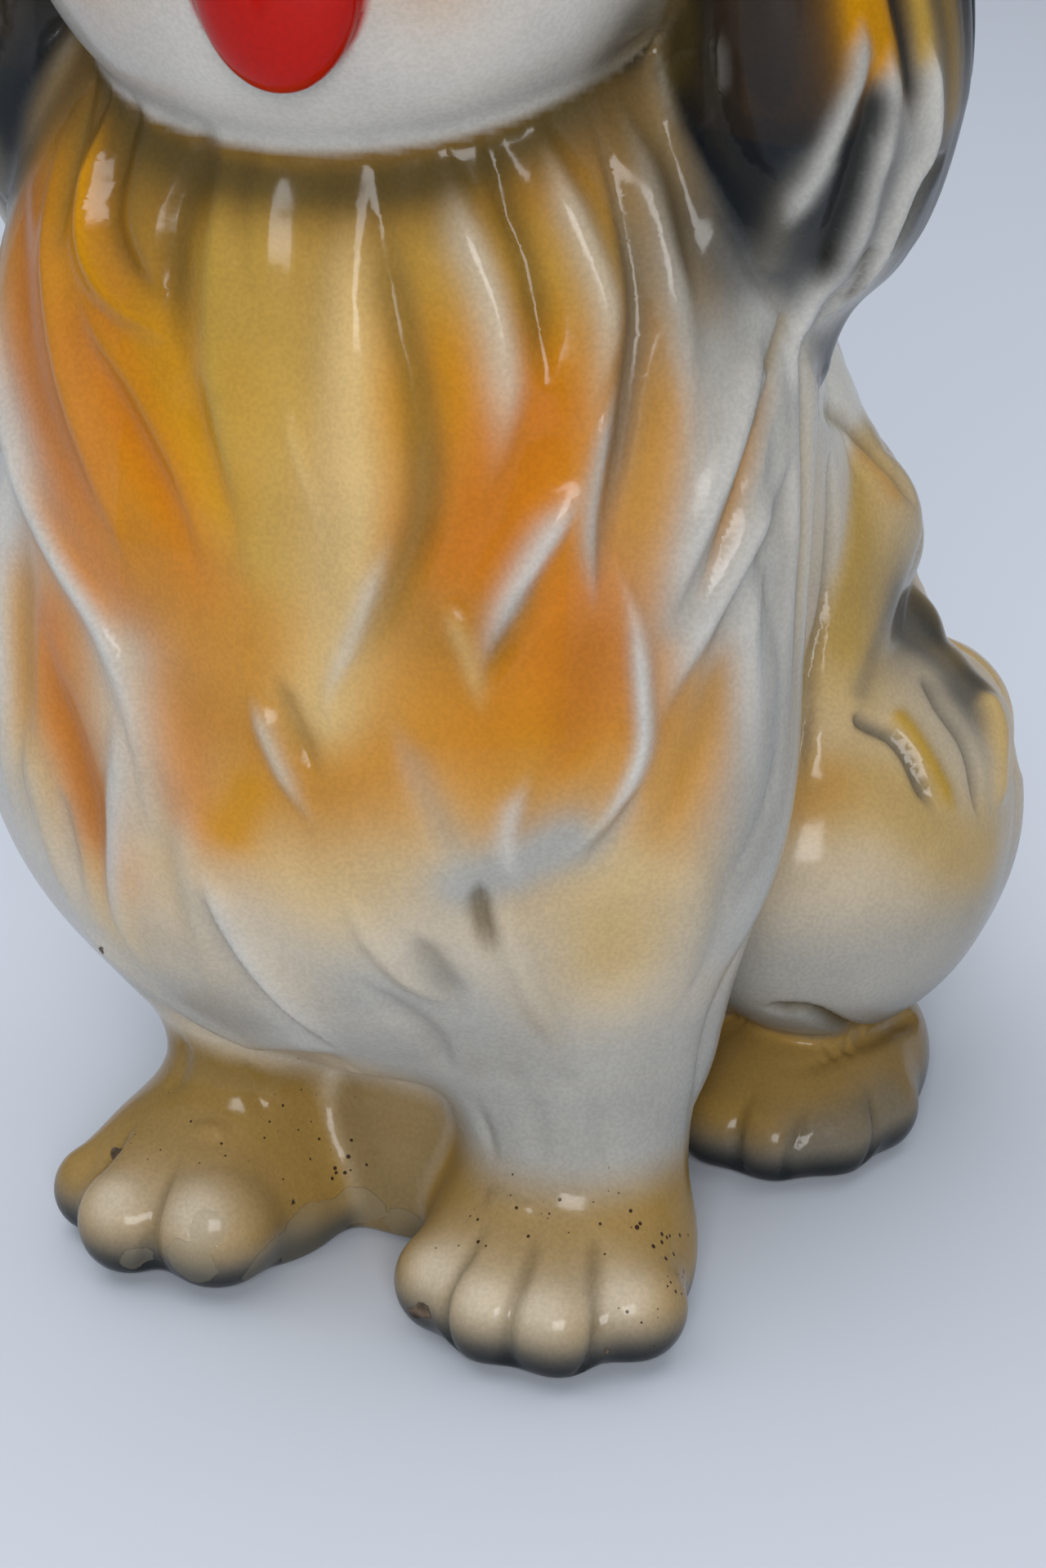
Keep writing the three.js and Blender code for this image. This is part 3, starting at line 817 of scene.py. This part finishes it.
# Painted highlight: a pale sheen on the rump and the top of the flank.
tint(SHEEN_WHITE, on_torso * pair.cloud(((58, -12, 150), (50, 20, 142), (44, 46, 124)), 18))
tint(SHELL, on_haunch)
tint(PEARL, 0.9 * on_haunch * band(-z, -58, -44))
tint(GREY, 0.6 * on_haunch * band(-z, -36, -24))
tint(CREAM, on_tail)
flank = np.maximum(on_tail, on_haunch)
clouds(pair, flank, (
    (CREAM, 0.8, 11, ((50, 22, 114), (52, 16, 102), (55, 6, 88))),
    (STRAW, 0.8, 6, ((50, 20, 116), (53, 16, 106), (55, 8, 94))),
    (STRAW, 0.7, 8, ((56, -6, 72), (64, 0, 70), (72, 8, 60), (76, 16, 56))),
    (PEACH, 0.4, 5, ((54, -9, 71), (57, -6, 74))),
    # Painted highlight along the top edge of the haunch lobe.
    (GOLD, 0.5, 2.5, ((48, 25, 123), (52, 29, 119), (56, 29, 113))),
    (GREY, 0.5, 2.2, ((59, 23, 97), (59, 14, 91), (59, 6, 86))),
    (GREY, 1.0, 7.5, ((56, 26, 92), (60, 32, 88), (66, 33, 81), (69, 30, 78))),
    (SOOT, 0.7, 4, ((58, 38, 90), (64, 38, 84), (70, 36, 79))),
))
strokes(pair, flank, lift, (
    (STRAW, 1.0, 2.2, 0.7, ((62, 10, 82), (65, 10, 79), (69, 9, 75), (72, 9, 69), (75, 10, 63))),
    (CREAM, 0.9, 3.2, 1.4, ((70, 34, 77), (74, 32, 72), (77, 28, 66), (78, 21, 60))),
    (CREAM, 0.8, 1.4, 1.0, ((49, 3, 114), (51, 3, 102), (51, 0, 92))),
), (0.15, 0.25))
# Creases of the flank, tail and thigh, darkened with grey, khaki and olive as painted shade.
strokes(pair, 1.0, sink, (
    (GREY, 0.8, 1.4, 1.8, ((58, 2, 83), (61, 4, 81), (64, 6, 79), (67, 6, 76), (70, 5, 71), (72, 6, 66))),
    (GREY, 0.6, 1.7, 1.7, ((64, 24, 84), (69, 20, 80), (73, 20, 74), (76, 18, 68), (78, 15, 61))),
    (KHAKI, 0.4, 2.2, 1.6, ((46, 12, 130), (48, 25, 126), (52, 32, 121), (57, 33, 115), (60, 33, 108))),
    (GREY, 0.35, 1.4, 1.6, (
        (47, 14, 124), (48, 11, 112), (50, 7, 99), (51, 1, 89), (52, -5, 81), (53, -10, 72),
    )),
    (OLIVE, 0.8, 1.7, 1.9, ((48, -9, 33), (57, -8, 32), (61, 9, 21), (64, 23, 18), (65, 32, 15))),
), (0.1, 0.2))
tail_crest, tail_tone = locks(z + 0.4 * x, y, 8.0, 4.0, 0.2)
tail_back = on_tail * band(y, 44, 60)
lift(2.0 * tail_crest * tail_back)
tint(GOLD, 0.7 * tail_back * band(tail_tone, 0.0, 0.8))
tint(KHAKI, 0.6 * tail_back * band(-tail_crest, -0.5, -0.1))
tint(WHITE, 0.7 * tail_back * band(tail_crest, 0.7, 1.0))
thigh_crest, thigh_tone = locks(z - 0.8 * y, y + z, 12.0, 5.0, 1.1)
thigh_back = on_haunch * (1 - on_tail) * band(y, 26, 44) * band(z, 20, 34)
lift(1.5 * thigh_crest * thigh_back)
tint(STRAW, 0.6 * thigh_back * band(thigh_tone, -0.2, 0.8))

# ---------- legs and paws

near_leg = on_foreleg * (x > 0)
far_leg = on_foreleg * (x < 0)
near_side = np.maximum(near_leg, band(x, 1, 14) * band(-y, 20, 30))
tint(PEARL, near_side * band(-z, -52, -42))
tint(OCHRE, near_leg * band(-z, -32, -21))
tint(OCHRE, far_leg * band(-z, -48, -42))
tint(OLIVE, 0.3 * far_leg * band(z, 20, 34))
tint(OCHRE, on_hind_paw)
tint(KHAKI, 0.5 * on_hind_paw * band(-z, -18, -10))
tint(GREY, 0.7 * pair.cloud(((58, -12, 11), (64, -6, 12), (67, 4, 12)), 5) * on_hind_paw)
pale_toes = ((19, -79, 15), (29, -84, 15), (39, -83, 15), (49, -75, 15), (-36, -82, 16), (-21, -82, 17))
for centre in pale_toes:
    tint(SHELL * 1.15, 0.8 * space.cloud([vec(*centre)], 5.5) * on_foreleg)
# The web between the forelegs: ochre, with olive over it as painted shade in the recess.
web = skin_of(belly) * (1 - on_foreleg) * band(-z, -44, -34) * band(-y, 20, 40)
tint(OCHRE, 0.8 * web)
tint(OLIVE, 0.4 * web)
# Creases between the toes of the fore and hind paws, sunk and darkened with olive as painted shade.
for chart, lines in (
    (space, (
        ((23, -84, 2), (23, -82, 9), (24, -76, 17), (26, -68, 20)),
        ((34, -86, 2), (34, -84, 10), (34, -76, 18), (33, -68, 21)),
        ((45, -80, 2), (45, -78, 10), (43, -71, 18), (40, -65, 20)),
        ((-42, -80, 2), (-42, -78, 9), (-41, -71, 17), (-38, -64, 21)),
        ((-29, -84, 2), (-29, -83, 9), (-28, -78, 16), (-28, -70, 20)),
    )),
    (pair, (
        ((46, -17, 2), (46, -15, 9), (47, -6, 15)),
        ((56, -16, 2), (56, -14, 9), (55, -4, 15)),
        ((67, -4, 2), (66, -2, 8), (61, 5, 15)),
    )),
):
    for points in lines:
        shape = chart.stroke(points, 1.3, 0.05, 0.4) * np.maximum(on_foreleg, on_hind_paw)
        sink(1.1 * shape)
        tint(OLIVE, 0.45 * shape)
for points in (((23, -67, 23), (28, -69, 23), (34, -67, 22)), ((-22, -66, 22), (-29, -67, 22))):
    lift(1.0 * space.stroke(points, 1.8) * on_foreleg)
for points in (
    ((20, -72, 46), (21, -67, 34), (25, -67, 26)),
    ((31, -70, 46), (32, -67, 35), (32, -66, 26)),
    ((40, -66, 45), (42, -64, 33), (42, -61, 27)),
    ((-22, -64, 40), (-20, -62, 30), (-18, -62, 24)),
    ((-32, -66, 40), (-34, -64, 30), (-37, -62, 24)),
):
    sink(0.8 * space.stroke(points, 1.8) * on_foreleg)
# The paws, and the haunches less, darken to grey and near black towards the floor: painted shade near the
# floor, partly a dark foot rim.
foot_rim_and_floor_shade = band(-z, -14, -6) * np.maximum(on_foreleg * band(-y, 58, 72), on_hind_paw)
tint(GREY, 0.95 * foot_rim_and_floor_shade)
tint(SOOT, 0.95 * band(-z, -10, -4) * np.maximum(np.maximum(on_foreleg, on_hind_paw), 0.4 * on_haunch))

# ---------- pinholes, chips and peeled glaze

for density, half_width, points in (
    (0.9, 6, ((22, -72, 18), (31, -70, 22), (40, -69, 20))),
    (1.0, 7, ((46, -65, 20), (51, -60, 14), (52, -66, 12))),
    (0.9, 6, ((-14, -62, 22), (-8, -58, 17))),
    (0.5, 10, ((-38, -68, 22), (-26, -70, 22))),
):
    np.maximum(pits, density * space.cloud(points, half_width), out=pits)


def damage(amount, places):
    """Marks the glaze inside each ball (x, y, z, radius); the amount is the depth into the ball."""
    for *centre, radius in places:
        np.maximum(amount, radius - np.linalg.norm(fine_points - vec(*centre), axis=1), out=amount)


damage(chips, (
    (-42, -71, 18, 1.2), (-40.5, -71, 18, 1.2), (-25, -80.5, 15, 1.1), (-15, -59, 27, 0.8),
    (-15, -60, 25.5, 0.8),
    (-29, -67, 37, 0.7), (-39, -75, 57, 1.0), (18, -81, 8, 1.6), (16, -80, 6, 1.4), (47, -77, 7, 1.3),
    (51, -73, 6, 1.2), (-12, -77, 1, 2.0), (29, -86, 1, 1.8), (-37, -84, 2, 1.6), (-11, -67, 13, 0.8),
    (61, -2, 74, 0.6), (23, -74, 50, 0.5), (-5, -56, 12, 0.5), (60, -70, 117, 0.4),
))
damage(peeled, (
    (-19, -81, 14, 3.5), (-21, -82, 9, 4.5), (-13, -74, 6, 5), (-8, -66, 6, 6), (-4, -58, 7, 5),
    (-10, -62, 4, 7),
    (3, -54, 5, 4), (-31, -84, 6, 3),
))

# ---------- relief

# Painted shade in the sunk grooves and flutes, partly glaze pooled in them: olive by their depth, except
# on the head.
tint(OLIVE, 0.16 * band(sunk, 0.5, 2.0) * (1 - on_head))
relief = raised - sunk
skin_points = fine_points + base_normals * relief[:, None]
skin_points[:, 2] = np.where(fine_points[:, 2] < 1.5, fine_points[:, 2], skin_points[:, 2])
skin_normals = vertex_normals(skin_points, fine_quads)
inner_points = skin_points[:len(coarse_points)] - base_normals[:len(coarse_points)] * WALL
inner_points[:, 2] = np.maximum(inner_points[:, 2], coarse_points[:, 2].min() + 0.2)


def shell_of(name):
    """The outer skin of one piece, its inner wall and the rim between them, as one closed mesh."""
    mine = np.flatnonzero(labels == name)
    quads = coarse_quads[mine]
    outer_quads = np.concatenate([fine_quads[4 * k:4 * k + 4] for k in mine])
    ring = np.stack([quads, np.roll(quads, -1, 1)], -1).reshape(-1, 2)
    _, first_use, uses = np.unique(np.sort(ring, 1), axis=0, return_index=True, return_counts=True)
    rim = ring[first_use[uses == 1]]
    middle_of = {tuple(edge): first_middle + k for k, edge in enumerate(map(tuple, split_edges))}
    offset = len(skin_points)
    faces = [tuple(face) for face in outer_quads]
    faces += [tuple(offset + corner for corner in face[::-1]) for face in quads]
    for start, end in rim:
        middle = middle_of[(min(start, end), max(start, end))]
        faces.append((end, middle, start, offset + start, offset + end))
    used = np.unique(np.concatenate([np.array(face) for face in faces]))
    place = {old: new for new, old in enumerate(used)}
    everything = np.concatenate([skin_points, inner_points])
    mesh = bpy.data.meshes.new(name + "_glazed")
    faces = [[place[corner] for corner in face] for face in faces]
    mesh.from_pydata((everything[used] * MM).tolist(), [], faces)
    for attribute, values in (("paint", paint), ("wear", np.stack([chips, peeled, pits], 1))):
        layer = mesh.attributes.new(attribute, "FLOAT_COLOR", "POINT")
        values = np.concatenate([values, values[:len(coarse_points)]])[used]
        values = np.concatenate([values, np.ones((len(used), 1), np.float32)], 1)
        layer.data.foreach_set("color", values.astype(np.float32).ravel())
    normals = np.concatenate([skin_normals, -base_normals[:len(coarse_points)]])[used]
    mesh.shade_smooth()
    mesh.normals_split_custom_set_from_vertices(normals.tolist())
    piece = bpy.data.objects.new(name + "_glazed", mesh)
    bpy.context.scene.collection.objects.link(piece)
    return piece


# ---------- materials

class Graph:
    """Short names for building a material from nodes."""

    def __init__(self, name):
        self.material = bpy.data.materials.new(name)
        self.material.use_nodes = True
        self.tree = self.material.node_tree
        self.shader = self.tree.nodes["Principled BSDF"]

    def put(self, socket, value):
        if isinstance(value, bpy.types.NodeSocket):
            self.tree.links.new(value, socket)
        else:
            socket.default_value = value

    def add(self, kind, inputs=None, output=0, **settings):
        node = self.tree.nodes.new("ShaderNode" + kind)
        for name, value in settings.items():
            setattr(node, name, value)
        for name, value in (inputs or {}).items():
            self.put(node.inputs[name], value)
        return node.outputs[output]

    def math(self, operation, a, b=0.0):
        return self.add("Math", {0: a, 1: b}, operation=operation)

    def ramp(self, value, start, end, low=0.0, high=1.0):
        inputs = {"Value": value, "From Min": start, "From Max": end, "To Min": low, "To Max": high}
        return self.add("MapRange", inputs, interpolation_type="SMOOTHSTEP")

    def mix(self, share, a, b):
        node = self.tree.nodes.new("ShaderNodeMix")
        node.data_type = "RGBA"
        self.put(node.inputs["Factor"], share)
        self.put(node.inputs["A"], a)
        self.put(node.inputs["B"], b)
        return node.outputs["Result"]

    def noise(self, place, scale, detail=2.0):
        return self.add("TexNoise", {"Vector": place, "Scale": scale, "Detail": detail}, "Fac")


PINHOLES_PER_METRE = 620
BARE_RIM = 0.5  # mm of clay without glaze above the floor
BISQUE = (0.26, 0.23, 0.16, 1)
PINHOLE = (0.045, 0.022, 0.010, 1)
CLAY = (0.16, 0.11, 0.07, 1)
DIRTY_CLAY = (0.03, 0.02, 0.014, 1)


def glaze_material(name, gloss=0.2):
    """Airbrushed colour under a clear glaze, with orange-peel, pinholes, chips and a bare foot rim."""
    graph = Graph(name)
    shader = graph.shader
    place = graph.add("TexCoord", output="Object")
    colour = graph.add("Attribute", output="Color", attribute_name="paint")
    wear = graph.add("Attribute", output="Color", attribute_name="wear")
    chips_in, peeled_in, pits_in = graph.add("SeparateColor", {0: wear}, "Red").node.outputs
    height = graph.add("SeparateXYZ", {0: place}, "Z")

    cloud = graph.noise(place, 45, 4)
    speckle = graph.noise(place, 1500, 2)
    grain = graph.noise(place, 320, 3)
    mottling = graph.ramp(cloud, 0.3, 0.7, -0.07, 0.07)
    shade = graph.math("ADD", mottling, graph.ramp(speckle, 0.3, 0.7, -0.06, 0.06))
    colour = graph.add("HueSaturation", {"Color": colour, "Value": graph.math("ADD", shade, 1.0)})

    cells = graph.add("TexVoronoi", {"Vector": place, "Scale": PINHOLES_PER_METRE}, "Distance")
    odds = graph.add("SeparateColor", {0: cells.node.outputs["Color"]}, "Red")
    size = graph.math("MULTIPLY", graph.math("SUBTRACT", pits_in, odds), 0.26)
    pit = graph.ramp(graph.math("SUBTRACT", size, cells), -0.05, 0.02)
    pit = graph.math("MULTIPLY", pit, graph.ramp(pits_in, 0.05, 0.2))

    ragged = graph.math("MULTIPLY", graph.math("SUBTRACT", grain, 0.5), 2.2)
    chip_edge = graph.math("ADD", chips_in, ragged)
    rim = graph.math("ADD", ragged, BARE_RIM)
    foot_edge = graph.math("ADD", graph.math("MULTIPLY", height, -1 / MM), rim)
    chip = graph.ramp(graph.math("MAXIMUM", chip_edge, foot_edge), -0.1, 0.15)
    peel = graph.ramp(graph.math("ADD", peeled_in, ragged), -0.1, 0.1)

    colour = graph.mix(graph.math("MULTIPLY", peel, 0.3), colour, BISQUE)
    colour = graph.mix(pit, colour, PINHOLE)
    clay = graph.mix(graph.ramp(grain, 0.35, 0.65), DIRTY_CLAY, CLAY)
    colour = graph.mix(chip, colour, clay)
    graph.put(shader.inputs["Base Color"], colour)

    rough = graph.ramp(cloud, 0.3, 0.7, gloss, gloss + 0.10)
    bare = graph.math("MAXIMUM", chip, graph.math("MULTIPLY", peel, 0.35))
    graph.put(shader.inputs["Roughness"], graph.math("ADD", rough, graph.math("MULTIPLY", bare, 0.5)))
    shader.inputs["Specular IOR Level"].default_value = 0.05
    shader.inputs["Coat Weight"].default_value = 0.28
    shader.inputs["Coat Roughness"].default_value = 0.14

    relief = graph.math("MULTIPLY", graph.noise(place, 170, 2), 0.00012)
    relief = graph.math("ADD", relief, graph.math("MULTIPLY", speckle, 0.000008))
    hollow = graph.math("MULTIPLY", graph.math("MAXIMUM", chip, pit), 0.00035)
    relief = graph.math("SUBTRACT", relief, hollow)
    relief = graph.math("SUBTRACT", relief, graph.math("MULTIPLY", peel, 0.00012))
    bump = graph.add("Bump", {"Height": relief, "Strength": 0.8, "Distance": 1.0}, "Normal")
    graph.put(shader.inputs["Normal"], bump)
    graph.put(shader.inputs["Coat Normal"], bump)
    return graph.material


slots = {entry["node"]: entry["material_slot"] for entry in frame["record"]["subparts"]}
materials = {}
for node in frame["nodes"]:
    piece = shell_of(node)
    slot = slots[node]
    if slot not in materials:
        materials[slot] = glaze_material(slot)
    piece.data.materials.append(materials[slot])
    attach(piece, "root")
    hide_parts(node)

# ---------- floor, light and camera

FLOOR_HALF = 2.5
FLOOR_COLOUR = (0.66, 0.71, 0.80, 1)
SKY_COLOUR = (0.86, 0.92, 1.0, 1)
AIM = (0, 0, 0.10)
CAMERA_PLACE = Vector((200.4, -470.1, 288.9)) * MM
CAMERA_AZIMUTH, CAMERA_ELEVATION, CAMERA_ANGLE = (math.radians(angle) for angle in (23, 24, 27))


def stage_floor():
    mesh = bpy.data.meshes.new("floor")
    corners = [(x * FLOOR_HALF, y * FLOOR_HALF, 0) for x, y in ((-1, -1), (1, -1), (1, 1), (-1, 1))]
    mesh.from_pydata(corners, [], [(0, 1, 2, 3)])
    floor = bpy.data.objects.new("floor", mesh)
    bpy.context.scene.collection.objects.link(floor)
    material = bpy.data.materials.new("floor")
    material.use_nodes = True
    shader = material.node_tree.nodes["Principled BSDF"]
    shader.inputs["Base Color"].default_value = FLOOR_COLOUR
    shader.inputs["Roughness"].default_value = 0.9
    mesh.materials.append(material)


def area_light(name, place, size, power):
    data = bpy.data.lights.new(name, "AREA")
    data.shape = "RECTANGLE"
    data.size, data.size_y = size
    data.energy = power
    light = bpy.data.objects.new(name, data)
    light.location = place
    light.rotation_euler = (Vector(AIM) - Vector(place)).to_track_quat("-Z", "Y").to_euler()
    bpy.context.scene.collection.objects.link(light)
    return light


def light_the_world(strength):
    world = bpy.data.worlds.new("studio")
    bpy.context.scene.world = world
    world.use_nodes = True
    background = world.node_tree.nodes["Background"]
    background.inputs["Color"].default_value = SKY_COLOUR
    background.inputs["Strength"].default_value = strength


def place_camera():
    data = bpy.data.cameras.new("camera")
    data.sensor_fit = "VERTICAL"
    data.sensor_height = 36
    data.sensor_width = 36
    data.angle_y = CAMERA_ANGLE
    back = Vector((
        math.sin(CAMERA_AZIMUTH) * math.cos(CAMERA_ELEVATION),
        -math.cos(CAMERA_AZIMUTH) * math.cos(CAMERA_ELEVATION),
        math.sin(CAMERA_ELEVATION),
    ))
    camera = bpy.data.objects.new("camera", data)
    camera.location = CAMERA_PLACE
    camera.rotation_mode = "QUATERNION"
    camera.rotation_quaternion = (-back).to_track_quat("-Z", "Y")
    bpy.context.scene.collection.objects.link(camera)
    bpy.context.scene.camera = camera


stage_floor()
area_light("window", (0.52, -1.22, 0.66), (0.56, 0.50), 12)
area_light("sky", (-0.3, 0.1, 1.5), (2.4, 2.4), 21).visible_glossy = False
light_the_world(0.25)
place_camera()
bpy.context.scene.view_settings.view_transform = "Standard"

bpy.context.view_layer.update()
